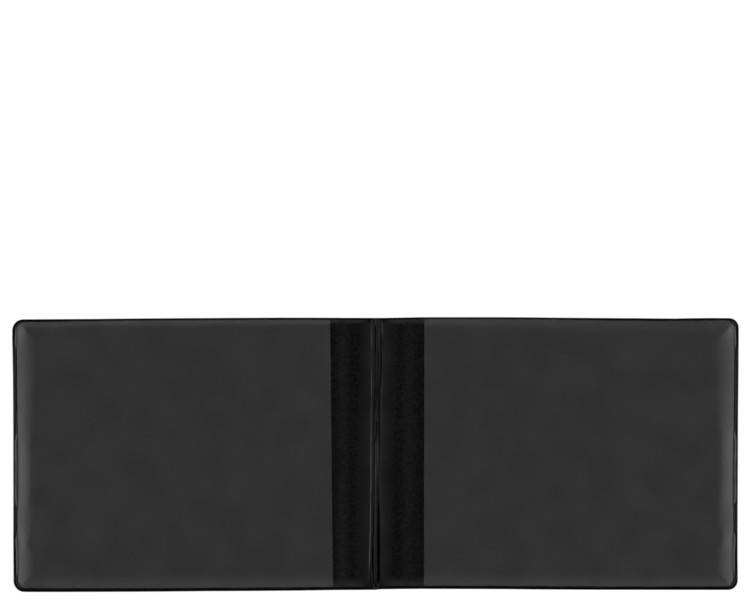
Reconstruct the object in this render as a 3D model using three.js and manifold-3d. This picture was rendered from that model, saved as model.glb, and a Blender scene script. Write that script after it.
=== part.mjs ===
// Registration document holder, lying open with its inside up.
// A cover sheet and a lining sheet of black vinyl run across the front leaf, the spine and the back leaf.
// A stiffener lies between the sheets in each leaf, and each leaf has a pocket of frosted clear film.
// One weld round the edge fuses the sheets, and the holder folds at the two creases beside the spine.
// Millimetres: X runs across the open holder, Y along the spine and Z up, with the cover's outer face at 0.
// The front leaf lies at -X and the back leaf at +X. The origin is the middle of the spine.

import * as THREE from 'three';
import { mergeVertices } from 'three/addons/utils/BufferGeometryUtils.js';
import Module from 'manifold-3d';

const wasm = await Module();
wasm.setup();

// Outline of the closed holder
const holderHeight = 101.6;
const leafWidth = 133.35;
const cornerRadius = 4.8;

// Sheets, from the table upwards
const coverThickness = 0.45;
const stiffenerThickness = 0.6;
const liningThickness = 0.3;
const pocketSlack = 0.3;
const filmThickness = 0.2;

// Spine and creases
const closedGap = 0.3;
const creaseClearance = 0.1;
const liningFootWidth = 0.4;
const stiffenerSetback = 4;

// Wrinkles that the fold has pressed into the spine's lining
const wrinkleHeight = 0.18;
const wrinkleDrift = 0.5;
const wrinkleWander = 0.12;
const wrinkleWaves = 2.5;

// Pocket mouths: distance from the crease, and how far a mouth leans over its whole length
const frontMouthSetback = 14.5;
const frontMouthLean = 0.75;
const backMouthSetback = 16;
const backMouthLean = 0;

// Weld round the edge: a bead, a groove pressed thin, then the margins where the sheets part
const beadWidth = 1.05;
const beadHeight = 0.9;
const weldWidth = 1.7;
const weldThickness = 0.4;
const weldLevel = 0.6;
const coverMargin = 2.2;
const filmMarginSide = 5.5;
const filmMarginEnd = 3;
const stiffenerClearance = 0.3;
const cornerTightening = 0.45;
const mouthStepWidth = 0.4;

// Facets of the curved stretches
const cornerSteps = 9;
const beadSteps = 10;
const marginSteps = 6;
const foldSteps = 8;
const wrinkleSteps = 24;
const ridgeSteps = 8;

// Levels of the stack on a leaf, and where the bare lining lies on the cover
const coverTop = coverThickness;
const stiffenerTop = coverTop + stiffenerThickness;
const liningTop = stiffenerTop + liningThickness;
const filmBottom = liningTop + pocketSlack;
const filmTop = filmBottom + filmThickness;
const spineLiningTop = coverTop + liningThickness;

// The closed leaves lie one over the other with a gap between their pockets, which sets the spine
const spineWidth = 2 * filmTop + closedGap;

// The lining leaves the cover at its foot beside the crease and reaches the stiffener at its setback
const liningFoot = spineLiningTop + creaseClearance + liningFootWidth;

// Insets from the free edges: side is measured in from the leaf's outer edge, end from its top and bottom
const coverInset = { side: weldWidth + coverMargin, end: weldWidth + coverMargin };
const stiffenerInset = {
  side: coverInset.side + stiffenerClearance,
  end: coverInset.end + stiffenerClearance,
};
const filmInset = { side: weldWidth + filmMarginSide, end: weldWidth + filmMarginEnd };

const materials = {
  cover: new THREE.MeshStandardMaterial({ color: 0x1b1c1f, roughness: 0.6, metalness: 0 }),
  lining: new THREE.MeshStandardMaterial({ color: 0x141414, roughness: 0.75, metalness: 0 }),
  weld: new THREE.MeshStandardMaterial({ color: 0x18181a, roughness: 0.3, metalness: 0 }),
  stiffener: new THREE.MeshStandardMaterial({ color: 0x8b8070, roughness: 0.9, metalness: 0 }),
  film: new THREE.MeshStandardMaterial({
    color: 0xc4c8ca,
    roughness: 0.35,
    metalness: 0,
    transparent: true,
    opacity: 0.25,
  }),
};

// Eases from 0 to 1 and lies flat at both ends, as a sheet does that bends down a step.
function ease(t) {
  return (1 - Math.cos(Math.PI * t)) / 2;
}

// Height of the lining's underside at a distance from the crease.
function liningUnderside(fromCrease) {
  const t = (fromCrease - liningFoot) / (stiffenerSetback - liningFoot);
  return coverTop + stiffenerThickness * ease(THREE.MathUtils.clamp(t, 0, 1));
}

// Radius of the outline's corners at an inset, tighter towards the middle of the leaf.
function cornerRadiusAt(inset) {
  return cornerRadius - cornerTightening * inset.end;
}

// A station on a leaf's U-shaped edge gives the point in plan for any inset and height.
function legStation(sign, fromCrease) {
  return (inset, z) => new THREE.Vector3(fromCrease(z), sign * (holderHeight / 2 - inset.end), z);
}

function cornerStation(sign, angle) {
  return (inset, z) => {
    const radius = cornerRadiusAt(inset);
    const centreU = leafWidth - inset.side - radius;
    const centreV = holderHeight / 2 - inset.end - radius;
    return new THREE.Vector3(
      centreU + radius * Math.cos(angle),
      sign * (centreV + radius * Math.sin(angle)),
      z,
    );
  };
}

function cornerStations(sign) {
  const steps = Array.from({ length: cornerSteps + 1 }, (_, i) => (i / cornerSteps) * (Math.PI / 2));
  return steps.reverse().map((angle) => cornerStation(sign, angle));
}

// The U round a leaf: up one leg from the crease, round the two corners and back down the other leg.
function roundTheLeaf(legStations) {
  const lower = [...legStations(-1), ...cornerStations(-1)];
  const upper = [...legStations(1), ...cornerStations(1)];
  return [...lower, ...upper.reverse()];
}

// Closed solid through rings of equal length, with both ends capped. The contour is a ring seen flat.
function loft(rings, contour) {
  const size = rings[0].length;
  const positions = rings.flat().flatMap((point) => point.toArray());
  const indices = [];
  for (let ring = 0; ring < rings.length - 1; ring += 1) {
    for (let i = 0; i < size; i += 1) {
      const a = ring * size + i;
      const b = ring * size + ((i + 1) % size);
      indices.push(a, b, a + size, b, b + size, a + size);
    }
  }
  const lastRing = (rings.length - 1) * size;
  const clockwise = THREE.ShapeUtils.isClockWise(contour);
  for (const [a, b, c] of THREE.ShapeUtils.triangulateShape(contour, [])) {
    const [first, last] = clockwise ? [[a, b, c], [a, c, b]] : [[a, c, b], [a, b, c]];
    indices.push(...first, ...last.map((i) => lastRing + i));
  }
  const geometry = new THREE.BufferGeometry();
  geometry.setAttribute('position', new THREE.Float32BufferAttribute(positions, 3));
  geometry.setIndex(indices);
  return facingOut(geometry);
}

// Turns a closed surface inside out where it encloses a negative volume.
function facingOut(geometry) {
  const position = geometry.getAttribute('position');
  const corner = (i) => new THREE.Vector3().fromBufferAttribute(position, geometry.index.getX(i));
  let sixVolumes = 0;
  for (let i = 0; i < geometry.index.count; i += 3) {
    sixVolumes += corner(i).dot(corner(i + 1).cross(corner(i + 2)));
  }
  if (sixVolumes < 0) {
    geometry.setIndex(Array.from(geometry.index.array).reverse());
  }
  return geometry;
}

// Section across the weld, from the cover's margin round the bead to the lining and film.
function weldSection(shoulderTop, ledge) {
  const grooveBottom = weldLevel - weldThickness / 2;
  const grooveTop = weldLevel + weldThickness / 2;
  const even = (inset, z) => ({ side: inset, end: inset, z });
  const section = [];
  for (let i = 0; i < marginSteps; i += 1) {
    const t = i / marginSteps;
    section.push(even(weldWidth + coverMargin * (1 - t), grooveBottom * t * t));
  }
  section.push(even(weldWidth, grooveBottom));
  for (let i = 0; i <= beadSteps; i += 1) {
    const turn = THREE.MathUtils.degToRad(-150 + (300 * i) / beadSteps);
    const inset = (beadWidth / 2) * (1 - Math.cos(turn));
    section.push(even(inset, weldLevel + (beadHeight / 2) * Math.sin(turn)));
  }
  section.push(even(weldWidth, grooveTop));
  for (let i = 1; i <= marginSteps; i += 1) {
    const t = i / marginSteps;
    section.push({
      side: weldWidth + filmMarginSide * t,
      end: weldWidth + filmMarginEnd * t,
      z: grooveTop + (shoulderTop - grooveTop) * Math.sin((Math.PI / 2) * t),
    });
  }
  section.push({ ...filmInset, z: ledge });
  section.push(even(coverInset.side, ledge));
  return section;
}

function sectionContour(section) {
  return section.map((point) => new THREE.Vector2(point.end, point.z));
}

// The weld round a leaf. Its shoulder follows the lining up from the crease and the film past the mouth.
function leafWeld(mouth) {
  const alongLeg = (sign) => {
    const fold = Array.from({ length: foldSteps + 1 }, (_, i) => {
      const u = liningFoot + ((stiffenerSetback - liningFoot) * i) / foldSteps;
      const underside = liningUnderside(u);
      return { at: () => u, top: underside + liningThickness, ledge: underside };
    });
    const mouthAt = mouth(sign * (holderHeight / 2 - filmInset.end));
    return [
      { at: (z) => creaseClearance + z, top: spineLiningTop, ledge: coverTop },
      ...fold,
      { at: () => mouthAt - mouthStepWidth, top: liningTop, ledge: stiffenerTop },
      { at: () => mouthAt, top: filmTop, ledge: stiffenerTop },
    ];
  };
  const rings = (sign) => [
    ...alongLeg(sign).map(({ at, top, ledge }) => {
      const station = legStation(sign, at);
      return weldSection(top, ledge).map((point) => station(point, point.z));
    }),
    ...cornerStations(sign).map((station) =>
      weldSection(filmTop, stiffenerTop).map((point) => station(point, point.z)),
    ),
  ];
  const contour = sectionContour(weldSection(spineLiningTop, coverTop));
  return loft([...rings(-1), ...rings(1).reverse()], contour);
}

// Flat sheet inside a leaf's edge. Its straight side starts at a distance from the crease.
function leafSheet(inset, bottom, top, startAt) {
  const legs = (sign) => [legStation(sign, (z) => startAt(z, sign * (holderHeight / 2 - inset.end)))];
  const stations = roundTheLeaf(legs);
  const ring = (z) => stations.map((station) => station(inset, z));
  const contour = ring(bottom).map((point) => new THREE.Vector2(point.x, point.y));
  return loft([ring(bottom), ring(top)], contour);
}

// Profile in plan distance and height, extruded along the spine over a length about the middle.
function alongSpine(profile, length) {
  const shape = new THREE.Shape(profile.map(([x, z]) => new THREE.Vector2(x, z)));
  const geometry = new THREE.ExtrudeGeometry(shape, { depth: length, bevelEnabled: false });
  return geometry.rotateX(Math.PI / 2).translate(0, length / 2, 0);
}

// Manifold solid of a closed geometry.
function solidOf(geometry) {
  const bare = geometry.clone();
  bare.deleteAttribute('normal');
  bare.deleteAttribute('uv');
  const merged = mergeVertices(bare);
  return new wasm.Manifold(
    new wasm.Mesh({
      numProp: 3,
      vertProperties: new Float32Array(merged.getAttribute('position').array),
      triVerts: new Uint32Array(merged.index.array),
    }),
  );
}

function common(first, second) {
  const mesh = solidOf(first).intersect(solidOf(second)).getMesh();
  const geometry = new THREE.BufferGeometry();
  geometry.setAttribute('position', new THREE.BufferAttribute(mesh.vertProperties, 3));
  geometry.setIndex(new THREE.BufferAttribute(mesh.triVerts, 1));
  return geometry;
}

// The lining's leaf: its section from the crease up the fold and over the stiffener, cut to the outline.
function leafLining() {
  const mitre = creaseClearance + coverTop;
  const upper = [[mitre + liningThickness, spineLiningTop]];
  const lower = [[mitre, coverTop]];
  for (let i = 0; i <= foldSteps; i += 1) {
    const u = liningFoot + ((stiffenerSetback - liningFoot) * i) / foldSteps;
    lower.push([u, liningUnderside(u)]);
    upper.push([u, liningUnderside(u) + liningThickness]);
  }
  lower.push([leafWidth, stiffenerTop]);
  upper.push([leafWidth, liningTop]);
  const section = alongSpine([...lower, ...upper.reverse()], holderHeight);
  return common(section, leafSheet(filmInset, 0, filmTop, () => 0));
}

function mesh(name, geometry, material) {
  const finished = geometry.index ? geometry.toNonIndexed() : geometry;
  finished.computeVertexNormals();
  const piece = new THREE.Mesh(finished, material);
  piece.name = name;
  return piece;
}

// One leaf in its own frame: U runs out from the crease, with the free edges at the far end.
function leaf(side, mouthSetback, mouthLean) {
  const mouth = (v) => mouthSetback + (mouthLean * v) / holderHeight;
  const cover = leafSheet(coverInset, 0, coverTop, (z) => creaseClearance + z);
  const stiffener = leafSheet(stiffenerInset, coverTop, stiffenerTop, () => stiffenerSetback);
  const film = leafSheet(filmInset, filmBottom, filmTop, (z, v) => mouth(v));
  const group = new THREE.Group();
  group.add(
    mesh(`${side}_cover`, cover, materials.cover),
    mesh(`${side}_stiffener`, stiffener, materials.stiffener),
    mesh(`${side}_lining`, leafLining(), materials.lining),
    mesh(`${side}_pocket_film`, film, materials.film),
    mesh(`${side}_edge_weld`, leafWeld(mouth), materials.weld),
  );
  return group;
}

// Half the spine's width at a height: both sides are mitred, so that each crease can fold square.
function spineReach(z) {
  return spineWidth / 2 - creaseClearance - z;
}

function spineCover() {
  const section = [
    [-spineReach(0), 0],
    [spineReach(0), 0],
    [spineReach(coverTop), coverTop],
    [-spineReach(coverTop), coverTop],
  ];
  return alongSpine(section, holderHeight - 2 * coverInset.end);
}

// The spine's lining, with two soft ridges and the wrinkle that wanders between them along the spine.
function spineLining() {
  const reach = spineReach(spineLiningTop);
  const halfLength = holderHeight / 2 - filmInset.end;
  const ringAt = (v) => {
    const along = v / halfLength;
    const wander = wrinkleWander * Math.sin(Math.PI * wrinkleWaves * along) * (1 - along * along);
    const valley = wrinkleDrift * along * 0.5 + wander;
    const ridges = Array.from({ length: 2 * ridgeSteps + 1 }, (_, i) => {
      const t = 1 - i / ridgeSteps;
      const x = t > 0 ? valley + (reach - valley) * t : valley + (reach + valley) * t;
      const swell = Math.sin(Math.PI * Math.abs(t)) ** 2;
      return new THREE.Vector3(x, v, spineLiningTop + wrinkleHeight * swell * (1 - along ** 6));
    });
    return [
      new THREE.Vector3(-spineReach(coverTop), v, coverTop),
      new THREE.Vector3(spineReach(coverTop), v, coverTop),
      ...ridges,
    ];
  };
  const rings = Array.from({ length: wrinkleSteps + 1 }, (_, i) => {
    return ringAt(halfLength * ((2 * i) / wrinkleSteps - 1));
  });
  return loft(rings, rings[0].map((point) => new THREE.Vector2(point.x, point.z)));
}

// The weld across one end of the spine, from crease to crease.
function spineWeld(sign) {
  const section = weldSection(spineLiningTop, coverTop);
  const ring = (towards) => {
    const station = legStation(sign, (z) => towards * spineReach(z));
    return section.map((point) => station(point, point.z));
  };
  return loft([ring(-1), ring(1)], sectionContour(section));
}

const backLeaf = leaf('back', backMouthSetback, backMouthLean);
backLeaf.position.x = spineWidth / 2;

const frontLeaf = leaf('front', frontMouthSetback, -frontMouthLean);
frontLeaf.position.x = -spineWidth / 2;
frontLeaf.rotation.z = Math.PI;

const holder = new THREE.Group();
holder.add(
  frontLeaf,
  backLeaf,
  mesh('spine_cover', spineCover(), materials.cover),
  mesh('spine_lining', spineLining(), materials.lining),
  mesh('spine_top_weld', spineWeld(1), materials.weld),
  mesh('spine_bottom_weld', spineWeld(-1), materials.weld),
);

export default holder;
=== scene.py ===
import math

import bpy
import numpy as np
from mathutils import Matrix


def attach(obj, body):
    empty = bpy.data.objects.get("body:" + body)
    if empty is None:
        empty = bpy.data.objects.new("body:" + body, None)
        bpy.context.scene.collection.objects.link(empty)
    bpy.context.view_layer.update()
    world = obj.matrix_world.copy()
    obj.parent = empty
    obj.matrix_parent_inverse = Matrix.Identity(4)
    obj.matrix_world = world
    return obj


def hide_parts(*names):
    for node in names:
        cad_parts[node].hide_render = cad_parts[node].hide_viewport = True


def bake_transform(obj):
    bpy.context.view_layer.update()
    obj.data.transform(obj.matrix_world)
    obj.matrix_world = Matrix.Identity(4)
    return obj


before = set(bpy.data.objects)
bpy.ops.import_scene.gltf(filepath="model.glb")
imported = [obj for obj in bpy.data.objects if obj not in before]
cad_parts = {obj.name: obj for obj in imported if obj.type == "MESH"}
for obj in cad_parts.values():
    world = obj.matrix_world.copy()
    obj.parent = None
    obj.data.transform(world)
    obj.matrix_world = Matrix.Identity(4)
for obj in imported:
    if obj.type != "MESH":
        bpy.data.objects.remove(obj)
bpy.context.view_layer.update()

print("frame loaded with", len(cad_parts), "nodes")

# Sizes are millimetres, heights are above the table. The front leaf lies at -x, the back at +x.
holder = {
    "halfLength": 135.35,
    "halfHeight": 50.8,
    "crease": 2.0,
    "foldReach": 1.2,
    "cornerRadius": {"front": 4.1, "back": 3.6},
    "keystone": 0.0047,  # either end of the open holder lies this share of y further out
    "sharpFrom": 38,  # edges that turn more than these degrees stay sharp
}
# The hand-cut outline, as (place, shift outwards) along each edge of the open holder
outline = {
    "top": [
        (-136, -0.60), (-117, -0.49), (-104, -0.42), (-90, -0.27), (-77, -0.17), (-50, -0.02),
        (-37, 0.05), (-23, 0.04), (-10, -0.02), (0, -0.05), (4, -0.03), (10, 0.08), (17, 0.22),
        (44, 0.23), (57, 0.17), (71, 0.01), (98, -0.17), (111, -0.28), (118, -0.15), (125, -0.08),
        (136, -0.16),
    ],
    "bottom": [
        (-136, 0.79), (-117, 0.80), (-90, 0.71), (-77, 0.63), (-64, 0.51), (-50, 0.45), (-30, 0.31),
        (-16, 0.09), (-3, 0.02), (0, 0.0), (1.5, -0.19), (10, -0.32), (17, -0.36), (37, -0.30),
        (51, -0.24), (58, -0.15), (71, -0.08), (84, -0.01), (136, 0.03),
    ],
    "front": [
        (-50, 0.11), (-30, 0.14), (-24, 0.10), (-11, 0.03), (0, 0.0), (12, -0.05), (29, -0.03),
        (36, 0.06), (43, 0.17), (50, 0.14),
    ],
    "back": [
        (-50, 0.12), (-45, 0.10), (-38, 0.0), (-24, -0.04), (0, -0.02), (15, -0.04), (36, 0.05),
        (50, 0.04),
    ],
}
signOf = {"front": -1, "back": 1}

# The camera looks straight down on the holder, which lies in the lower half of the frame
camera = {
    "centre": (-0.24, 56.14),
    "distance": 2000,
    "farthest": 20000,
    "frameWidth": 280.2,
    "sensor": 36,
}


def makeCamera():
    data = bpy.data.cameras.new("overhead")
    data.sensor_width = camera["sensor"]
    data.lens = camera["sensor"] * camera["distance"] / camera["frameWidth"]
    data.clip_end = camera["farthest"] / 1000
    overhead = bpy.data.objects.new("overhead", data)
    x, y = camera["centre"]
    overhead.location = (x / 1000, y / 1000, camera["distance"] / 1000)
    bpy.context.scene.collection.objects.link(overhead)
    bpy.context.scene.camera = overhead


makeCamera()
print("camera placed")


# One socket of a node tree, so that shader maths can be written as plain arithmetic
class Wire:
    def __init__(self, tree, socket=None):
        self.tree, self.socket = tree, socket

    def node(self, kind, settings=None, inputs=None, output=0):
        made = self.tree.nodes.new(kind)
        for name, value in (settings or {}).items():
            setattr(made, name, value)
        for name, value in (inputs or {}).items():
            if isinstance(value, Wire):
                self.tree.links.new(value.socket, made.inputs[name])
            else:
                made.inputs[name].default_value = value
        return Wire(self.tree, made.outputs[output])

    def maths(self, operation, *others):
        inputs = dict(enumerate((self, *others)))
        return self.node("ShaderNodeMath", {"operation": operation}, inputs)

    def __add__(self, other):
        return self.maths("ADD", other)

    def __sub__(self, other):
        return self.maths("SUBTRACT", other)

    def __rsub__(self, other):
        return self.node("ShaderNodeMath", {"operation": "SUBTRACT"}, {0: other, 1: self})

    def __mul__(self, other):
        return self.maths("MULTIPLY", other)

    __radd__, __rmul__ = __add__, __mul__

    # 0 below low, 1 above high and a smooth rise between them
    def rise(self, low, high, bottom=0.0, top=1.0):
        limits = {"Value": self, "From Min": low, "From Max": high, "To Min": bottom, "To Max": top}
        return self.node("ShaderNodeMapRange", {"interpolation_type": "SMOOTHSTEP"}, limits)

    def part(self, axis):
        return self.node("ShaderNodeSeparateXYZ", {}, {"Vector": self}, axis)

    def scaled(self, factors):
        return self.node("ShaderNodeVectorMath", {"operation": "MULTIPLY"}, {0: self, 1: factors})

    def moved(self, other):
        return self.node("ShaderNodeVectorMath", {"operation": "ADD"}, {0: self, 1: other})

    def noise(self, perMillimetre, detail=3.0, roughness=0.5, output=0):
        facts = {"Vector": self, "Scale": perMillimetre, "Detail": detail, "Roughness": roughness}
        return self.node("ShaderNodeTexNoise", {}, facts, output)

    # The first colour at 0 and the second at 1, in the mix node's colour sockets 6, 7 and 2
    def mixed(self, first, second):
        ends = {0: self, 6: (*first, 1), 7: (*second, 1)}
        return self.node("ShaderNodeMix", {"data_type": "RGBA"}, ends, 2)

    # A bump of a true height in millimetres
    def bump(self, height, strength=1.0):
        facts = {"Height": self, "Distance": height / 1000, "Strength": strength}
        return self.node("ShaderNodeBump", {}, facts)


def newMaterial(name):
    material = bpy.data.materials.new(name)
    material.use_nodes = True
    tree = material.node_tree
    tree.nodes.clear()
    return material, Wire(tree)


def finishMaterial(material, surface):
    end = material.node_tree.nodes.new("ShaderNodeOutputMaterial")
    material.node_tree.links.new(surface.socket, end.inputs["Surface"])
    return material


def principled(material, shade, facts):
    return finishMaterial(material, shade.node("ShaderNodeBsdfPrincipled", {}, facts))


# Where a point of a sheet lay before the holder was folded, in millimetres
def flatPlace(shade):
    return shade.node("ShaderNodeAttribute", {"attribute_name": "flat"}, {}, "Vector")


# Grained cover vinyl: pebbles are the distance to warped cells' edges, with finer noise over them
def coverVinyl():
    material, shade = newMaterial("coverVinyl")
    place = flatPlace(shade)
    warp = place.noise(0.9, 2.0, output="Color").scaled((0.9, 0.9, 0.9))
    cells = {"Vector": place.moved(warp), "Scale": 1.35}
    edge = shade.node("ShaderNodeTexVoronoi", {"feature": "DISTANCE_TO_EDGE"}, cells)
    pebble = edge.rise(0.0, 0.28)
    fine = place.noise(4.5, 4.0, 0.6)
    cloud = place.noise(0.05, 2.0)
    height = pebble * 0.7 + fine * 0.5
    colour = (pebble * 0.6 + cloud * 0.5).mixed((0.0002, 0.0004, 0.0018), (0.0020, 0.0026, 0.0052))
    facts = {
        "Base Color": colour,
        "Roughness": 0.27 + fine * 0.12 + cloud * 0.04,
        "Specular IOR Level": 0.19,
        "Normal": height.bump(0.035),
    }
    return principled(material, shade, facts)


# Suede-faced lining vinyl: blotches of nap, which the bend beside the spine has pulled smooth
def liningVinyl():
    material, shade = newMaterial("liningVinyl")
    place = flatPlace(shade)
    nap = place.noise(1.0, 5.0, 0.68)
    fine = place.noise(3.2, 3.0, 0.6)
    pulled = 1 - place.part("X").maths("ABSOLUTE").rise(3.5, 8.0)
    blotch = nap.rise(0.32, 0.70) * (1 - pulled * 0.75)
    facts = {
        "Base Color": blotch.mixed((0.0, 0.0, 0.0), (0.0022, 0.0022, 0.0021)),
        "Roughness": 0.22 + blotch * 0.05 + fine * 0.04,
        "Specular IOR Level": 0.22,
        "Normal": (nap * 0.6 + fine * 0.4).bump(0.022, 0.8),
    }
    return principled(material, shade, facts)


# Vinyl that the hot die has pressed smooth, with faint ripples from the melt
def weldVinyl():
    material, shade = newMaterial("weldVinyl")
    place = flatPlace(shade)
    ripple = place.noise(0.6, 3.0)
    fine = place.noise(5.0, 2.0)
    facts = {
        "Base Color": ripple.mixed((0.0001, 0.0001, 0.0001), (0.0006, 0.0006, 0.0007)),
        "Roughness": 0.12 + fine * 0.05,
        "Specular IOR Level": 0.34,
        "Normal": ripple.bump(0.03, 0.6),
    }
    return principled(material, shade, facts)


# Frosted clear film: a haze that clouds a little, over fine frosting
def pocketFilm():
    material, shade = newMaterial("pocketFilm")
    place = flatPlace(shade)
    cloud = place.noise(0.09, 3.0)
    frost = place.noise(2.6, 4.0, 0.6)
    streak = place.scaled((1.1, 0.12, 1.0)).noise(1.0, 2.0)
    tone = cloud * 0.6 + frost * 0.2 + streak * 0.2
    facts = {
        "Base Color": tone.mixed((0.0060, 0.0060, 0.0065), (0.0240, 0.0240, 0.0250)),
        "Roughness": 0.30 + frost * 0.1,
        "Specular IOR Level": 0.53,
        "Alpha": 0.66 + cloud * 0.08,
        "Normal": (frost * 0.3 + streak * 0.7).bump(0.012, 0.6),
    }
    return principled(material, shade, facts)


# Grey board of the stiffeners: pressed fibres, from noise drawn out along the sheet
def stiffenerBoard():
    material, shade = newMaterial("stiffenerBoard")
    place = shade.node("ShaderNodeTexCoord", {}, {}, "Object").scaled((1000, 1000, 1000))
    fibre = place.scaled((0.35, 2.2, 1.0)).noise(1.0, 5.0, 0.65)
    fleck = place.noise(1.7, 3.0).rise(0.62, 0.72)
    colour = (fibre * 0.7 + fleck * 0.3).mixed((0.17, 0.15, 0.12), (0.36, 0.32, 0.26))
    facts = {"Base Color": colour, "Roughness": 0.82 + fibre * 0.12, "Normal": fibre.bump(0.05)}
    return principled(material, shade, facts)


# Gold foil stamped into the grain: thin spots where the grain was deep
def goldFoil():
    material, shade = newMaterial("goldFoil")
    place = flatPlace(shade)
    grain = place.noise(2.4, 4.0, 0.6)
    thin = grain.rise(0.60, 0.74)
    facts = {
        "Base Color": (grain * 0.8).mixed((0.60, 0.345, 0.085), (0.74, 0.47, 0.15)),
        "Metallic": 0.35 - thin * 0.2,
        "Roughness": 0.42 + thin * 0.15,
        "Normal": grain.bump(0.02, 0.7),
    }
    return principled(material, shade, facts)


finishes = {
    "cover": coverVinyl(),
    "lining": liningVinyl(),
    "weld": weldVinyl(),
    "film": pocketFilm(),
    "board": stiffenerBoard(),
    "foil": goldFoil(),
}
print("finishes made:", ", ".join(finishes))


# A measure that changes along an edge is a list of (place, value), read straight between its places
def along(stations, place, column=1):
    table = np.array(stations)
    return np.interp(place, table[:, 0], table[:, column])


# Every point moves with the outline: x by a share of the side's shift and of the keystone, y by a
# share of the shifts of the top and bottom edges
def settled(points):
    x, y = points[..., 0], points[..., 1]
    up = (1 + y / holder["halfHeight"]) / 2
    outward = np.where(x < 0, along(outline["front"], y), along(outline["back"], y))
    moved = points.copy()
    moved[..., 0] = x * (1 + (holder["keystone"] * y + outward) / holder["halfLength"])
    moved[..., 1] = y + along(outline["top"], x) * up - along(outline["bottom"], x) * (1 - up)
    return moved


# A mesh from points in millimetres, turned outwards if the volume that it encloses is negative
def makePiece(name, points, quads, finish, caps=()):
    first, second, third, fourth = (points[quads[:, k]] for k in range(4))
    halves = np.cross(second, third) + np.cross(third, fourth)
    if (first * halves).sum() < 0:
        quads, caps = quads[:, ::-1], [cap[::-1] for cap in caps]
    mesh = bpy.data.meshes.new(name)
    faces = quads.tolist() + [list(cap) for cap in caps]
    mesh.from_pydata((settled(points) / 1000).tolist(), [], faces)
    flat = mesh.attributes.new("flat", "FLOAT_VECTOR", "POINT")
    flat.data.foreach_set("vector", points.astype(np.float32).ravel())
    mesh.materials.append(finishes[finish])
    mesh.shade_smooth()
    mesh.set_sharp_from_angle(angle=math.radians(holder["sharpFrom"]))
    piece = bpy.data.objects.new(name, mesh)
    bpy.context.scene.collection.objects.link(piece)
    return piece


# A sheet between two grids of points, walled round its rim
def makeSheet(name, upper, lower, finish):
    rows, columns = upper.shape[:2]
    total = rows * columns
    index = np.arange(total).reshape(rows, columns)
    cell = [index[:-1, :-1], index[1:, :-1], index[1:, 1:], index[:-1, 1:]]
    top = np.stack(cell, -1).reshape(-1, 4)
    rim = np.concatenate([index[0, :-1], index[:-1, -1], index[-1, :0:-1], index[:0:-1, 0]])
    after = np.roll(rim, -1)
    wall = np.stack([rim, after, after + total, rim + total], -1)
    quads = np.concatenate([top, top[:, ::-1] + total, wall])
    return makePiece(name, np.concatenate([upper, lower]).reshape(-1, 3), quads, finish)


# Stations from a to b, close together at both ends: a tanh curve through evenly spaced numbers
def crowded(a, b, count, crowding):
    t = np.linspace(-1, 1, count)
    return a + (b - a) * (1 + np.tanh(crowding * t) / math.tanh(crowding)) / 2


# Steepest at the weld and flat at the margin's inner end: a power of what is left of the margin
def fall(distance, margin, power=2.0):
    return np.clip(1 - distance / margin, 0, 1) ** power


# Two falls meet in a soft hip that never passes 1: a + b - ab, taken on their fourth powers
def hip(first, second):
    return (first**4 + second**4 - first**4 * second**4) ** 0.25


# A sum of sines, each (height, length, phase)
def waves(place, sines):
    turns = [(height, 2 * math.pi * place / length + phase) for height, length, phase in sines]
    return sum(height * np.sin(turn) for height, turn in turns)


# Plan of a sheet's grid: each square corner cell is drawn in to a quarter disc
def sheetPlan(side, u, v, inset, radius):
    endInset = np.where(v > 0, inset["top"], inset["bottom"])
    toSide = holder["halfLength"] - inset["side"] - u
    toEnd = holder["halfHeight"] - endInset - np.abs(v)
    across, upward = radius - toSide, radius - toEnd
    larger = np.maximum(across, upward)
    inCorner = (across > 0) & (upward > 0)
    share = np.where(inCorner, larger / np.maximum(np.hypot(across, upward), 1e-9), 1)
    across, upward = np.maximum(across, 0) * (share - 1), np.maximum(upward, 0) * (share - 1)
    return signOf[side] * (u + across), v + np.sign(v) * upward, toSide, toEnd


endCrowding = 2.2


# Stations along the sheet's height, between its insets from the bottom and top edges
def heightStations(inset, count):
    bottom, top = inset["bottom"] - holder["halfHeight"], holder["halfHeight"] - inset["top"]
    return crowded(bottom, top, count, endCrowding)


# Cover: its outer face lies on the table, rolls up to the weld and dips a little at each crease
cover = {
    "thickness": 0.45,
    "inset": {"side": 1.3, "top": 1.45, "bottom": 1.4},
    "margin": 3.5,
    "weldLevel": 0.40,
    "weldThickness": 0.20,
    "creaseDip": 0.06,
    "creaseWidth": 0.35,
    "cornerRadius": 3.0,
    "spineReach": 4,  # columns are a step apart up to here, then crowded
    "spineStep": 0.1,
    "columns": 90,
    "crowding": 2.0,
    "rows": 100,
}


# Its inner face rises to the weld, where the sheet has been pressed thin
def coverInner(roll):
    pressed = cover["weldLevel"] + cover["weldThickness"]
    return cover["thickness"] + (pressed - cover["thickness"]) * roll


def makeCover(side):
    inset, reach = cover["inset"], cover["spineReach"]
    end = holder["halfLength"] - inset["side"]
    outward = crowded(reach, end, cover["columns"], cover["crowding"])
    u = np.concatenate([np.arange(0, reach, cover["spineStep"]), outward])
    u, v = np.meshgrid(u, heightStations(inset, cover["rows"]), indexing="ij")
    x, y, toSide, toEnd = sheetPlan(side, u, v, inset, cover["cornerRadius"])
    roll = hip(fall(toSide, cover["margin"]), fall(toEnd, cover["margin"]))
    dip = cover["creaseDip"] * np.exp(-(((u - holder["crease"]) / cover["creaseWidth"]) ** 2))
    outer = cover["weldLevel"] * roll + dip * (1 - roll)
    lower, upper = np.stack([x, y, outer], -1), np.stack([x, y, coverInner(roll)], -1)
    return makeSheet(f"{side}_cover_sheet", upper, lower, "cover")


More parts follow.
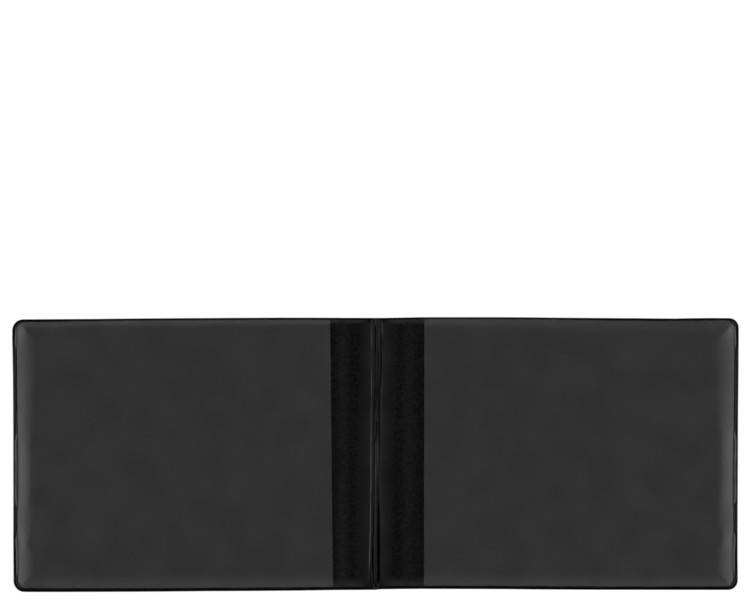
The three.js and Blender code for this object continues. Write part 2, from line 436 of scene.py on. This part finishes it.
# Lining: it lies on the stiffener and rolls down to the weld, and past the stiffener to the spine
lining = {
    "thickness": 0.3,
    "thinnest": 0.03,
    "level": 1.35,
    "lowest": 0.48,
    "hump": [(-8.5, 0.60), (8.5, 0.40)],
    "humpReach": (16.0, 8.5),  # the hump rises between these distances from the middle
    "weldLevel": 0.66,
    "bareLevel": {"top": 1.15, "bottom": 0.98, "until": 12.5, "gone": 16.0},
    "inset": {"side": 1.5, "top": 0.72, "bottom": 1.25},
    "margin": {"side": 5.0, "top": 2.1, "bottom": 4.0},
    "cornerRadius": 2.2,
    "shoulderAt": {
        "front": [(-51, -8.4), (0, -7.4), (51, -6.0)],
        "back": [(-51, 7.0), (0, 8.2), (51, 9.6)],
    },
    "shoulderSlope": {"front": -0.13, "back": 0.21},
    "overCover": 0.01,
    "underFilm": 0.03,
    "underMouth": 0.3,
    "fineColumns": (2.8, 0.02),  # up to a distance from the middle, and their step
    "bareColumns": (16.5, 0.35),
    "columns": 40,
    "crowding": 1.8,
    "rows": 190,
}
# The stiffener carries the lining from here on, up to these distances from the lining's edges
board = {"from": 6.0, "toSide": 2.7, "toEnd": 3.2, "level": 1.055}

# Creases along the spine, as rows of (y, x, slope, width): the slope is added over a soft band
spineLips = {
    "left": [
        (-51, -2.75, -0.01, 0.2), (-46, -2.6, -0.06, 0.2), (-43, -2.45, -0.14, 0.24),
        (-40, -2.3, -0.24, 0.24), (-36, -2.25, -0.25, 0.24), (-31, -2.1, -0.26, 0.22),
        (-28, -1.92, -0.26, 0.22), (-16, -1.9, -0.2, 0.2), (-10, -1.74, -0.2, 0.28),
        (8, -1.72, -0.12, 0.35), (14, -1.65, -0.11, 0.32), (20, -1.55, -0.13, 0.2),
        (29, -1.55, -0.2, 0.2), (33, -1.5, -0.04, 0.4), (38, -1.5, -0.06, 0.4),
        (42, -1.5, -0.12, 0.4), (49, -1.5, -0.1, 0.35), (51, -1.6, -0.04, 0.2),
    ],
    "ridge": [
        (-51, 0.0, 0.01, 0.3), (-44, -0.35, 0.04, 0.3), (-34, -0.3, 0.09, 0.3),
        (-28, -0.1, 0.1, 0.3), (-8, -0.02, 0.1, 0.26), (4, -0.02, 0.06, 0.3),
        (14, 0.05, 0.09, 0.24), (18, 0.35, 0.1, 0.24), (22, 0.5, 0.01, 0.3), (34, 0.4, 0.0, 0.3),
        (51, 0.5, 0.0, 0.3),
    ],
    "inner": [
        (-51, 2.0, 0.0, 0.3), (-20, 2.1, 0.0, 0.3), (-8, 0.7, 0.0, 0.3), (2, 0.75, 0.07, 0.3),
        (8, 1.0, 0.0, 0.25), (17, 1.0, 0.0, 0.25), (28, 1.5, 0.0, 0.2), (38, 1.4, 0.0, 0.3),
        (47, 1.3, 0.07, 0.2), (51, 1.3, 0.07, 0.2),
    ],
    "right": [
        (-51, 1.9, -0.05, 0.35), (-24, 1.75, -0.05, 0.3), (-14, 1.6, 0.03, 0.3),
        (8, 2.1, 0.02, 0.3), (26, 2.3, 0.06, 0.3), (31, 2.9, 0.0, 0.3), (43, 2.7, 0.0, 0.3),
        (46, 2.45, 0.14, 0.25), (51, 2.45, 0.12, 0.25),
    ],
}
# Sharp folds, as rows of (y, x, width): narrow ones have a flat bottom, wide ones are pleats
spineFolds = {
    "first": [
        (-51, -0.8, 0.20), (-46, -0.9, 0.28), (-43, -1.1, 0.33), (-37, -1.12, 0.34),
        (-33, -1.05, 0.28), (-28, -0.82, 0.21), (-22, -0.8, 0.20), (-19, -0.65, 0.10),
        (-14, -0.6, 0.13), (-9, -0.45, 0.13), (-5, -0.5, 0.16), (-1, -0.48, 0.18), (5, -0.56, 0.19),
        (8, -0.45, 0.04), (11, -0.45, 0.04), (14, -0.43, 0.16), (18, -0.55, 0.14),
        (21, -0.45, 0.10), (23, -0.35, 0.12), (27, -0.2, 0.08), (31, -0.1, 0.06), (35, -0.06, 0.15),
        (39, -0.06, 0.27), (49, -0.03, 0.27), (51, 0.0, 0.1),
    ],
    "second": [
        (-51, 1.1, 0.44), (-48, 1.0, 0.52), (-44, 1.0, 0.56), (-37, 1.02, 0.57), (-28, 1.02, 0.50),
        (-21, 1.04, 0.38), (-16, 1.06, 0.26), (-13, 1.06, 0.15), (-9, 1.2, 0.04), (-4, 1.44, 0.09),
        (2, 1.44, 0.12), (5, 1.44, 0.20), (17, 1.44, 0.22), (20, 1.4, 0.12), (23, 1.6, 0.04),
        (28, 1.85, 0.17), (31, 2.05, 0.31), (42, 2.08, 0.30), (44, 1.98, 0.14), (47, 1.85, 0.09),
        (51, 1.7, 0.12),
    ],
    "third": [
        (18, 1.4, 0.0), (22, 1.1, 0.06), (27, 0.95, 0.09), (31, 0.95, 0.08), (33, 1.04, 0.16),
        (37, 1.06, 0.13), (40, 1.06, 0.0), (47, 1.1, 0.0), (49, 1.06, 0.16), (51, 1.0, 0.14),
    ],
    "braid": [
        (2, -0.45, 0.0), (5, -0.2, 0.05), (7, 0.15, 0.11), (9, 0.32, 0.17), (12, 0.38, 0.15),
        (14, 0.62, 0.08), (17, 0.75, 0.06), (20, 0.85, 0.0),
    ],
    "thread": [
        (4, -1.1, 0.0), (10, -1.15, 0.07), (14, -0.95, 0.06), (20, -0.9, 0.05), (24, -0.9, 0.0),
    ],
    "pinch": [(-51, -2.15, 0.16), (-48, -2.1, 0.16), (-46, -1.95, 0.11), (-44, -1.8, 0.0)],
}
foldDepth = {"most": 0.52, "perWidth": 2.8}
# A fold turns from flat to pleat between these widths, and a pleat's slope turns over this crisply
pleatWidth = {"none": 0.3, "full": 0.36, "crispness": 9}
# Unevenness along the spine: of the shoulders' slope, of each crease's place and of its slope
spineWander = {
    "swell": [(0.07, 31, 0.3), (0.05, 12.5, 2.0)],
    "place": (0.03, 5.3),
    "slope": (0.15, 9.1),
}
# The valley's slopes, from the left lip to the first fold and then the second, and how they meet
valley = {
    "toFirst": -0.13,
    "toSecond": [
        (-24, 0.16), (-14, 0.18), (-6, 0.22), (4, 0.22), (9, 0.14), (14, 0.2), (18, 0.14),
        (22, 0.13), (32, 0.21),
    ],
    "turn": 0.12,
}


# 0 left of a crease and 1 right of it, with a tanh curve between
def beyond(x, place):
    return (1 + np.tanh((x - place) / valley["turn"])) / 2


# A shoulder steepens from its outer end to the crease, by the square root of the way covered
def shoulderSlope(side, x, y):
    outer = along(lining["shoulderAt"][side], y)
    share = np.clip((x - outer) / (signOf[side] * holder["crease"] - outer), 0, 1) ** 0.5
    return lining["shoulderSlope"][side] * (1 + waves(y, spineWander["swell"])) * share


# Slope of the lining across the spine: the shoulders, the valley between them, then lips and folds.
# A narrow fold is -depth e^(-r^8), r its distance over its width, so its slope is
# 8 depth / width r^7 e^(-r^8). A wide one is a pleat, two V's whose slope changes sign with
# sin(2 pi r). Both level what they cut into.
def spineSlope(x, y):
    front, back = shoulderSlope("front", x, y), shoulderSlope("back", x, y)
    toFirst, toSecond = valley["toFirst"], along(valley["toSecond"], y)
    slope = front + (toFirst - front) * beyond(x, along(spineLips["left"], y))
    slope += (toSecond - toFirst) * beyond(x, along(spineFolds["first"], y))
    slope += (back - toSecond) * beyond(x, along(spineFolds["second"], y))
    for rows in spineLips.values():
        phase = rows[0][1]
        place = along(rows, y) + waves(y, [(*spineWander["place"], phase)])
        reach = (x - place) / along(rows, y, 3)
        uneven = 1 + waves(y, [(*spineWander["slope"], phase)])
        slope += along(rows, y, 2) * uneven * np.exp(-(reach**2))
    walls, narrow, wide = 0, pleatWidth["none"], pleatWidth["full"]
    for rows in spineFolds.values():
        width = np.maximum(along(rows, y, 2), 1e-3)
        reach = np.clip((x - along(rows, y)) / width, -3, 3)
        depth = np.minimum(foldDepth["most"], width * foldDepth["perWidth"])
        pleat = np.clip((width - narrow) / (wide - narrow), 0, 1)
        flat, sharp = np.exp(-(reach**8)) * (1 - pleat), np.exp(-(reach**16)) * pleat
        turn = np.tanh(pleatWidth["crispness"] * np.sin(2 * np.pi * reach))
        walls = walls + depth / width * (8 * reach**7 * flat - 2 * turn * sharp)
        slope = slope * (1 - flat - sharp)
    return slope + walls


spineGrid = {"reach": 17, "step": 0.25, "fineReach": 4, "fineStep": 0.01}


# Height is the running sum of the slope, levelled so that both leaves' linings are equally high
def spineHeights():
    reach, fineReach = spineGrid["reach"], spineGrid["fineReach"]
    x = np.concatenate([
        np.arange(-reach, -fineReach, spineGrid["step"]),
        np.arange(-fineReach, fineReach, spineGrid["fineStep"]),
        np.arange(fineReach, reach + spineGrid["fineStep"], spineGrid["step"]),
    ])
    y = heightStations(lining["inset"], lining["rows"])
    slope = spineSlope(x[:, None], y[None, :])
    height = np.cumsum((slope[1:] + slope[:-1]) / 2 * np.diff(x)[:, None], axis=0)
    height = np.concatenate([np.zeros((1, len(y))), height])
    height -= height[-1] * ((x[:, None] - x[0]) / (x[-1] - x[0]))
    foot, brow = lining["humpReach"]
    rise = np.clip((foot - np.abs(x)) / (foot - brow), 0, 1)
    hump = along(lining["hump"], x) * rise * rise * (3 - 2 * rise)
    return x, lining["level"] + hump[:, None] + height


spineX, spineRelief = spineHeights()
print("spine relief from", spineRelief.min().round(2), "to", spineRelief.max().round(2), "mm")


# Edge weld: a section of (inset, height) carried round the leaf. All sections share their
# underside. Along the side the die has pressed the bead in three ways, which fade into each other
# at the places listed.
weld = {
    "under": [
        (2.3, 0.50), (1.45, 0.41), (0.90, 0.405), (0.62, 0.40), (0.50, 0.22), (0.30, 0.18),
        (0.10, 0.20), (0.02, 0.32), (0.00, 0.60),
    ],
    "grooved": [
        (0.01, 0.84), (0.05, 0.91), (0.15, 0.935), (0.40, 0.97), (0.70, 1.01), (0.98, 1.04),
        (1.08, 1.05), (1.16, 1.0), (1.22, 0.72), (1.50, 0.69), (2.5, 0.66),
    ],
    "rolled": [
        (0.01, 0.88), (0.05, 0.96), (0.15, 0.995), (0.40, 1.045), (0.56, 1.05), (0.76, 0.99),
        (1.00, 0.89), (1.25, 0.785), (1.42, 0.74), (1.75, 0.70), (2.5, 0.66),
    ],
    "pressed": [
        (0.01, 0.93), (0.03, 1.00), (0.08, 1.04), (0.30, 1.05), (0.62, 1.05), (0.92, 1.045),
        (1.04, 1.01), (1.20, 0.94), (1.40, 0.84), (1.62, 0.73), (2.5, 0.66),
    ],
    "top": [
        (0.01, 0.93), (0.03, 1.00), (0.08, 1.04), (0.18, 1.05), (0.30, 1.05), (0.42, 1.05),
        (0.50, 1.04), (0.54, 0.96), (0.57, 0.84), (0.80, 0.73), (1.6, 0.66),
    ],
    "bottom": [
        (0.01, 0.93), (0.04, 1.02), (0.10, 1.05), (0.32, 1.05), (0.60, 1.05), (0.90, 1.05),
        (1.02, 1.02), (1.08, 0.90), (1.12, 0.78), (1.30, 0.73), (1.9, 0.66),
    ],
    "groovedAt": [
        (-50, 0.5), (-45, 0.6), (-42.5, 0.0), (-30.5, 0.0), (-28.5, 1.0), (-19.5, 1.0),
        (-17.5, 0.0), (5.5, 0.0), (9, 0.6), (13, 1.0), (38.5, 1.0), (42, 0.0), (45, 0.0), (48, 0.5),
        (50, 0.5),
    ],
    "pressedAt": [
        (-50, 1.0), (-37, 1.0), (-31, 0.45), (-29, 1.0), (-27, 0.0), (38, 0.0), (43, 1.0),
        (50, 1.0),
    ],
    "lineWidth": {
        "front": [
            (0, 1.28), (14, 1.28), (17, 1.05), (104, 1.07), (112, 1.22), (120, 1.4), (136, 1.6),
        ],
        "back": [
            (0, 1.28), (15, 1.28), (18, 0.9), (60, 1.05), (74, 1.2), (86, 1.42), (136, 1.5),
        ],
    },
    "lineFrom": 3,  # lineWidth stretches the top's section from this point on
    "sideShare": (1.25, 1.5),  # the side's section comes in with (factor * outward x) ** power
    "waver": [(0.030, 17, 0.6), (0.018, 6.3, 1.9), (0.010, 2.9, 0.2)],
    "insetWaver": 1.6,
    "heightPhase": 3,
    "seat": 0.4,  # heights waver by a share of what they stand above this
    "crumple": [(0.07, 2.4, 0.9), (0.05, 1.3, 0.2)],
    "crumpleReach": 2.2,
    "cornerSteps": 26,
    "sideSteps": 150,
    "spineColumns": (4, 0.12),  # up to a distance from the middle, and their step
    "legStep": 1.0,
}


# How much of each pressing the side has at a place along it
def pressings(v):
    grooved = along(weld["groovedAt"], v)
    pressed = (1 - grooved) * along(weld["pressedAt"], v)
    return {"grooved": grooved, "pressed": pressed, "rolled": 1 - grooved - pressed}


# Points along the outline and their outward directions. The outline runs a corner's radius outside
# a core path with square corners: out along the top, down the side and back along the bottom.
def weldPath(side):
    radius = holder["cornerRadius"][side]
    endU, endV = holder["halfLength"] - radius, holder["halfHeight"] - radius
    reach, step = weld["spineColumns"]
    leg = np.concatenate([np.arange(0, reach, step), np.arange(reach, endU, weld["legStep"])])
    turn = np.linspace(0, math.pi / 2, weld["cornerSteps"])
    down = np.linspace(endV, -endV, weld["sideSteps"])[1:-1]
    corner, beside = np.ones(len(turn)), np.ones(len(down))
    angle = [0 * leg, turn, math.pi / 2 * beside, math.pi / 2 + turn, math.pi + 0 * leg]
    coreU = [leg, endU * corner, endU * beside, endU * corner, leg[::-1]]
    coreV = [endV + 0 * leg, endV * corner, down, -endV * corner, 0 * leg - endV]
    angle, coreU, coreV = (np.concatenate(parts) for parts in (angle, coreU, coreV))
    outU, outV = np.sin(angle), np.cos(angle)
    return coreU + radius * outU, coreV + radius * outV, outU, outV


# The section at each point of the path: the top's, stretched, or the bottom's, and the pressings
# along the side
def weldSections(side, u, v, outU, outV):
    kinds = ("grooved", "rolled", "pressed", "top", "bottom")
    sections = {kind: np.array(weld["under"] + weld[kind]) for kind in kinds}
    stretch = np.ones((len(u), *sections["top"].shape))
    stretched = len(weld["under"]) + weld["lineFrom"]
    stretch[:, stretched:, 0] = along(weld["lineWidth"][side], u)[:, None]
    sideSection = sum(share[:, None, None] * sections[kind] for kind, share in pressings(v).items())
    factor, power = weld["sideShare"]
    sideShare = np.clip(outU * factor, 0, 1)[:, None, None] ** power
    endSection = np.where((outV >= 0)[:, None, None], sections["top"] * stretch, sections["bottom"])
    return endSection * (1 - sideShare) + sideSection * sideShare


# The sections waver a little along the path, and crumple over the spine
def makeWeld(side):
    u, v, outU, outV = weldPath(side)
    section = weldSections(side, u, v, outU, outV)
    travel = np.concatenate([[0], np.cumsum(np.hypot(np.diff(u), np.diff(v)))])
    inset = section[..., 0] * (1 + waves(travel, weld["waver"])[:, None] * weld["insetWaver"])
    atSpine = np.exp(-((u / weld["crumpleReach"]) ** 2))
    lift = waves(travel + weld["heightPhase"], weld["waver"]) + atSpine * waves(u, weld["crumple"])
    height = section[..., 1] + lift[:, None] * (section[..., 1] - weld["seat"])
    x = signOf[side] * (u[:, None] - inset * outU[:, None])
    y = v[:, None] - inset * outV[:, None]
    rings = np.stack([x, y, height], -1)
    stations, size = rings.shape[:2]
    index = np.arange(stations * size).reshape(stations, size)
    onward = np.roll(index, -1, axis=1)
    quads = np.stack([index[:-1], index[1:], onward[1:], onward[:-1]], -1).reshape(-1, 4)
    caps = [index[0].tolist(), index[-1][::-1].tolist()]
    return makePiece(f"{side}_weld_rim", rings.reshape(-1, 3), quads, "weld", caps)


# Pocket films: welded on three sides, and rolled down to the weld over a margin whose width
# wanders. Where the bead isn't grooved the film lies flat for a short toe before it rises.
film = {
    "thickness": 0.2,
    "thinned": 0.85,  # share of the thickness that is lost at the weld
    "level": 1.815,
    "weldLevel": 0.765,
    "sideInset": 1.45,
    "groovedInset": 0.16,
    "toe": 0.5,
    "cornerRadius": 2.9,
    "sidePower": {"front": 1.65, "back": 1.6},
    "endPower": 1.8,
    "sideWander": [(0.12, 8.9, 2.6), (0.1, 5.3, 0.4)],
    "endWander": [(0.25, 37, 0.4), (0.15, 14, 1.6)],
    # Slack: waves along the leaf times waves across it, and a weaker set that runs askew
    "slack": {
        "along": [(0.02, 46, 0.7)],
        "across": [(1, 39, 0.2)],
        "askew": [(0.012, 21, 1.1)],
        "skew": 0.3,
    },
    "columns": (140, 2.2),  # count and crowding
    "rows": (170, 2.0),
    "front": {
        "mouth": (16.45, 0.52),
        "top": [(16, 0.60), (104, 0.62), (112, 0.72), (120, 0.82), (136, 0.95)],
        "bottom": [(16, 1.25), (60, 1.3), (110, 1.42), (120, 1.55), (136, 1.55)],
        "margin": [
            (-50, 1.5), (-48.5, 3.4), (-46, 5.8), (-43, 6.6), (-38, 6.5), (-32, 4.5), (-26, 6.0),
            (-22, 6.1), (-18, 5.8), (8, 5.8), (14, 6.1), (20, 6.4), (28, 7.0), (41, 7.2), (45, 5.6),
            (48, 3.2), (50, 1.5),
        ],
        "topMargin": [(16, 2.7), (136, 2.9)],
        "bottomMargin": [(16, 5.2), (136, 5.0)],
    },
    "back": {
        "mouth": (18.1, 0.05),
        "top": [(18, 0.52), (60, 0.60), (74, 0.70), (86, 0.82), (136, 0.88)],
        "bottom": [(18, 1.22), (50, 1.15), (80, 1.22), (136, 1.28)],
        "margin": [
            (-50, 1.5), (-48.5, 3.4), (-46, 5.8), (-42, 6.8), (-37, 6.7), (-32, 4.7), (-26, 6.3),
            (-20, 6.6), (-14, 5.8), (0, 5.8), (8, 5.6), (12, 6.6), (20, 7.0), (30, 7.6), (42, 7.7),
            (45, 5.6), (48, 3.2), (50, 1.5),
        ],
        "topMargin": [(18, 3.6), (50, 4.0), (80, 5.4), (136, 5.8)],
        "bottomMargin": [(18, 5.4), (40, 5.2), (136, 5.0)],
    },
}


# Heights of the film's upper and lower faces, from the distances to its welded edges
def filmHeights(side, u, v, toSide, toEnd):
    own = film[side]
    toe = film["toe"] * (1 - pressings(v)["grooved"])
    sideMargin = along(own["margin"], v) + waves(v, film["sideWander"]) - toe
    endMargin = np.where(v > 0, along(own["topMargin"], u), along(own["bottomMargin"], u))
    endMargin = endMargin + waves(u, film["endWander"])
    sideRoll = fall(toSide - toe, sideMargin, film["sidePower"][side])
    roll = hip(sideRoll, fall(toEnd, endMargin, film["endPower"]))
    sines = film["slack"]
    slack = waves(u, sines["along"]) * waves(v, sines["across"])
    slack = slack + waves(u + v * sines["skew"], sines["askew"])
    top = film["level"] + (film["weldLevel"] - film["level"]) * roll + slack * (1 - roll)
    return top, top - film["thickness"] * (1 - film["thinned"] * roll)


# Stations run from the mouth to the side weld, and from the bottom weld to the top weld
def makeFilm(side):
    own = film[side]
    s, t = crowded(0, 1, *film["columns"]), crowded(-1, 1, *film["rows"])
    s, t = np.meshgrid(s, t, indexing="ij")
    grooved = pressings(t * holder["halfHeight"])["grooved"]
    inset = {"side": film["sideInset"] + film["groovedInset"] * grooved}
    mouth = own["mouth"][0] + own["mouth"][1] * t
    u = mouth + s * (holder["halfLength"] - inset["side"] - mouth)
    inset["top"], inset["bottom"] = along(own["top"], u), along(own["bottom"], u)
    v = t * (holder["halfHeight"] - np.where(t > 0, inset["top"], inset["bottom"]))
    x, y, toSide, toEnd = sheetPlan(side, u, v, inset, film["cornerRadius"])
    top, lower = filmHeights(side, u, v, toSide, toEnd)
    upper, lower = np.stack([x, y, top], -1), np.stack([x, y, lower], -1)
    return makeSheet(f"{side}_pocket_sheet", upper, lower, "film")


# The lining stays under the film and over the stiffener and the cover, and thins where it is
# creased or pressed
def makeLining(side):
    inset, margin = lining["inset"], lining["margin"]
    (fine, fineStep), (bare, bareStep) = lining["fineColumns"], lining["bareColumns"]
    end = holder["halfLength"] - inset["side"]
    outward = crowded(bare, end, lining["columns"], lining["crowding"])
    u = np.concatenate([np.arange(0, fine, fineStep), np.arange(fine, bare, bareStep), outward])
    stations = heightStations(inset, lining["rows"])
    relief = np.stack([np.interp(signOf[side] * u, spineX, row) for row in spineRelief.T], 1)
    u, v = np.meshgrid(u, stations, indexing="ij")
    x, y, toSide, toEnd = sheetPlan(side, u, v, inset, lining["cornerRadius"])
    endMargin = np.where(v > 0, margin["top"], margin["bottom"])
    roll = hip(fall(toSide, margin["side"]), fall(toEnd, endMargin))
    ends = lining["bareLevel"]
    bareShare = np.clip((ends["gone"] - u) / (ends["gone"] - ends["until"]), 0, 1)
    endLevel = np.where(v > 0, ends["top"], ends["bottom"])
    endLevel = endLevel * bareShare + lining["weldLevel"] * (1 - bareShare)
    top = np.maximum(relief + (np.minimum(endLevel, relief) - relief) * roll, lining["lowest"])
    under = filmHeights(side, u, v, toSide, toEnd)[1] - lining["underFilm"]
    mouth = film[side]["mouth"][0] + film[side]["mouth"][1] * v / holder["halfHeight"]
    top = np.where(u > mouth - lining["underMouth"], np.minimum(top, under), top)
    onBoard = (u > board["from"]) & (toSide > board["toSide"]) & (toEnd > board["toEnd"])
    bed = np.where(onBoard, board["level"], coverInner(roll) + lining["overCover"])
    lower = np.minimum(np.maximum(top - lining["thickness"], bed), top - lining["thinnest"])
    upper, lower = np.stack([x, y, top], -1), np.stack([x, y, lower], -1)
    return makeSheet(f"{side}_lining_sheet", upper, lower, "lining")


# Foil ornament on the front cover: ruled panel with notched corners round a lobed rosette
foil = {
    "centre": (-68.7, 0.0),
    "proud": 0.014,
    "sunk": 0.01,
    # A rule is (step inwards, width), a rosette (radius, depth of lobes as a share, lobes, width)
    "panel": {"halfWidth": 45, "halfHeight": 27, "notch": 6, "rules": [(0, 0.8), (2.0, 0.3)]},
    "rosettes": [(9.5, 0.20, 8, 0.55), (6.6, 0.16, 8, 0.4), (3.2, 0.28, 4, 1.7)],
    "studs": [(-30, 0), (30, 0), (0, 17), (0, -17)],
    "stud": {"outline": [(0.8, 0), (0, 0.5), (-0.8, 0), (0, -0.5)], "width": 0.8},
    "sharpest": 0.4,  # keeps the band's corners from running out to spikes
    "notchSteps": 14,
    "rosetteSteps": 240,
}


# A closed path widened to a flat band: each point moves half the width to either side of the path
def band(path, width):
    ahead = np.roll(path, -1, axis=0) - path
    ahead /= np.linalg.norm(ahead, axis=1)[:, None]
    behind = np.roll(ahead, 1, axis=0)
    normal = np.stack([-(ahead + behind)[:, 1], (ahead + behind)[:, 0]], -1)
    normal /= np.maximum((normal**2).sum(1, keepdims=True) / 2, foil["sharpest"])
    proud, sunk = -foil["proud"], foil["sunk"]
    edges = [(0.5, sunk), (0.5, proud), (-0.5, proud), (-0.5, sunk)]
    rings = []
    for half, z in edges:
        rings.append(np.column_stack([path + normal * width * half, np.full(len(path), z)]))
    rings = np.stack(rings, 1)
    index = np.arange(len(path) * 4).reshape(-1, 4)
    after, onward = np.roll(index, -1, axis=0), np.roll(index, -1, axis=1)
    quads = np.stack([index, after, np.roll(onward, -1, axis=0), onward], -1).reshape(-1, 4)
    return rings.reshape(-1, 3), quads


# The panel's outline: straight rules whose corners step in along a quarter circle
def panelPath(halfWidth, halfHeight, notch):
    turn = np.linspace(0, math.pi / 2, foil["notchSteps"])
    corner = np.stack([halfWidth - notch * np.sin(turn), halfHeight - notch * np.cos(turn)], -1)
    mirrored = corner[::-1]
    return np.concatenate([corner, mirrored * (-1, 1), corner * (-1, -1), mirrored * (1, -1)])


def makeFoil():
    centre, panel = np.array(foil["centre"]), foil["panel"]
    turn = np.linspace(0, 2 * math.pi, foil["rosetteSteps"], endpoint=False)
    paths = []
    for step, width in panel["rules"]:
        sides = panel["halfWidth"] - step, panel["halfHeight"] - step
        paths.append((panelPath(*sides, panel["notch"]), width))
    for radius, lobe, count, width in foil["rosettes"]:
        reach = radius * (1 + lobe * np.cos(count * turn))
        paths.append((np.stack([reach * np.cos(turn), reach * np.sin(turn)], -1), width))
    for place in foil["studs"]:
        paths.append((np.array(foil["stud"]["outline"]) + place, foil["stud"]["width"]))
    points, quads = [], []
    for path, width in paths:
        found, cells = band(path + centre, width)
        quads.append(cells + sum(len(part) for part in points))
        points.append(found)
    return makePiece("front_cover_foil", np.concatenate(points), np.concatenate(quads), "foil")


for side in ("front", "back"):
    leaf, sign = f"{side}_leaf", signOf[side]

    coverSheet = makeCover(side)
    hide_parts(f"{side}_cover", "spine_cover")
    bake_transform(coverSheet)

    liningSheet = makeLining(side)
    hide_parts(f"{side}_lining", "spine_lining")
    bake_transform(liningSheet)

    weldRim = makeWeld(side)
    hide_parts(f"{side}_edge_weld", "spine_top_weld", "spine_bottom_weld")
    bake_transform(weldRim)

    pocketSheet = makeFilm(side)
    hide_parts(f"{side}_pocket_film")
    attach(pocketSheet, leaf)

    filmWidth = (holder["halfLength"] - film[side]["mouth"][0] - film["sideInset"]) / 1000

    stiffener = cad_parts[f"{side}_stiffener"]
    stiffener.data.materials.clear()
    stiffener.data.materials.append(finishes["board"])
    print(side, "leaf dressed")

coverFoil = makeFoil()
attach(coverFoil, "front_leaf")
print("foil ornament stamped")

# Pale floor, in metres. To the camera it is white, and part of it is lit, so that it keeps the
# holder's shadow. From below it is clear. Gloss sees it too, paler towards grazing angles.
floorFacts = {"size": 6.0, "level": -0.00006, "litShare": 0.14, "paper": (0.97, 0.97, 0.97, 1)}


def makeFloor():
    reach = floorFacts["size"] / 2
    corners = [(-reach, -reach), (reach, -reach), (reach, reach), (-reach, reach)]
    mesh = bpy.data.meshes.new("floor")
    mesh.from_pydata([(x, y, floorFacts["level"]) for x, y in corners], [], [(0, 1, 2, 3)])
    floor = bpy.data.objects.new("floor", mesh)
    bpy.context.scene.collection.objects.link(floor)
    material, shade = newMaterial("paleFloor")
    ray = {name: shade.node("ShaderNodeLightPath", {}, {}, name)
           for name in ("Is Camera Ray", "Is Glossy Ray", "Is Transmission Ray")}
    facing = shade.node("ShaderNodeLayerWeight", {}, {"Blend": 0.5}, "Facing")
    seen = ray["Is Camera Ray"].maths("MAXIMUM", ray["Is Transmission Ray"])
    strength = seen.maths("MAXIMUM", ray["Is Glossy Ray"] * facing * facing * facing)
    glow = shade.node("ShaderNodeEmission", {}, {"Color": (1, 1, 1, 1), "Strength": strength})
    paper = shade.node("ShaderNodeBsdfDiffuse", {}, {"Color": floorFacts["paper"]})
    white = seen.maths("MAXIMUM", ray["Is Glossy Ray"]) * (1 - floorFacts["litShare"])
    lit = shade.node("ShaderNodeMixShader", {}, {0: white, 1: paper, 2: glow})
    below = shade.node("ShaderNodeNewGeometry", {}, {}, "Backfacing")
    clear = shade.node("ShaderNodeBsdfTransparent")
    finishMaterial(material, shade.node("ShaderNodeMixShader", {}, {0: below, 1: lit, 2: clear}))
    mesh.materials.append(material)
    floor.visible_shadow = False
    floor.visible_diffuse = False


makeFloor()

# Studio, in metres: two soft panels beside the holder, and a surround that is dark overhead and
# paler towards the sides, the ends and underneath
studio = {
    "panelReach": 0.95,
    "panelHeight": 1.05,
    "panelSize": (0.55, 1.1),
    "panelWatts": 4.0,
    "overhead": 0.045,
    "underneath": 0.60,
    "sides": 1.3,
    "ends": 0.88,
    "sidesRise": (0.06, 0.70),  # where the surround brightens, as the direction's part towards it
    "endsRise": (0.08, 0.80),
    "underneathRise": (-0.5, -0.1),
}


def makeStudio():
    for sign in (-1, 1):
        data = bpy.data.lights.new("panel", "AREA")
        data.shape, data.energy = "RECTANGLE", studio["panelWatts"]
        data.size, data.size_y = studio["panelSize"]
        panel = bpy.data.objects.new("panel", data)
        panel.location = (sign * studio["panelReach"], 0, studio["panelHeight"])
        tilt = math.atan2(studio["panelReach"], studio["panelHeight"])
        panel.rotation_euler = (0, sign * tilt, 0)
        bpy.context.scene.collection.objects.link(panel)
    world = bpy.data.worlds.new("surround")
    world.use_nodes = True
    world.node_tree.nodes.clear()
    shade = Wire(world.node_tree)
    toward = shade.node("ShaderNodeTexCoord", {}, {}, "Generated")
    sideways = toward.part("X").maths("ABSOLUTE").rise(*studio["sidesRise"]) * studio["sides"]
    endways = toward.part("Y").maths("ABSOLUTE").rise(*studio["endsRise"]) * studio["ends"]
    upward = toward.part("Z").rise(*studio["underneathRise"], studio["underneath"], 0.0)
    surround = sideways + endways + upward + studio["overhead"]
    cameraRay = shade.node("ShaderNodeLightPath", {}, {}, "Is Camera Ray")
    strength = cameraRay + (1 - cameraRay) * surround
    glow = shade.node("ShaderNodeBackground", {}, {"Color": (1, 1, 1, 1), "Strength": strength})
    end = world.node_tree.nodes.new("ShaderNodeOutputWorld")
    world.node_tree.links.new(glow.socket, end.inputs["Surface"])
    bpy.context.scene.world = world


makeStudio()
bpy.context.scene.view_settings.view_transform = "Standard"
print("studio lit")
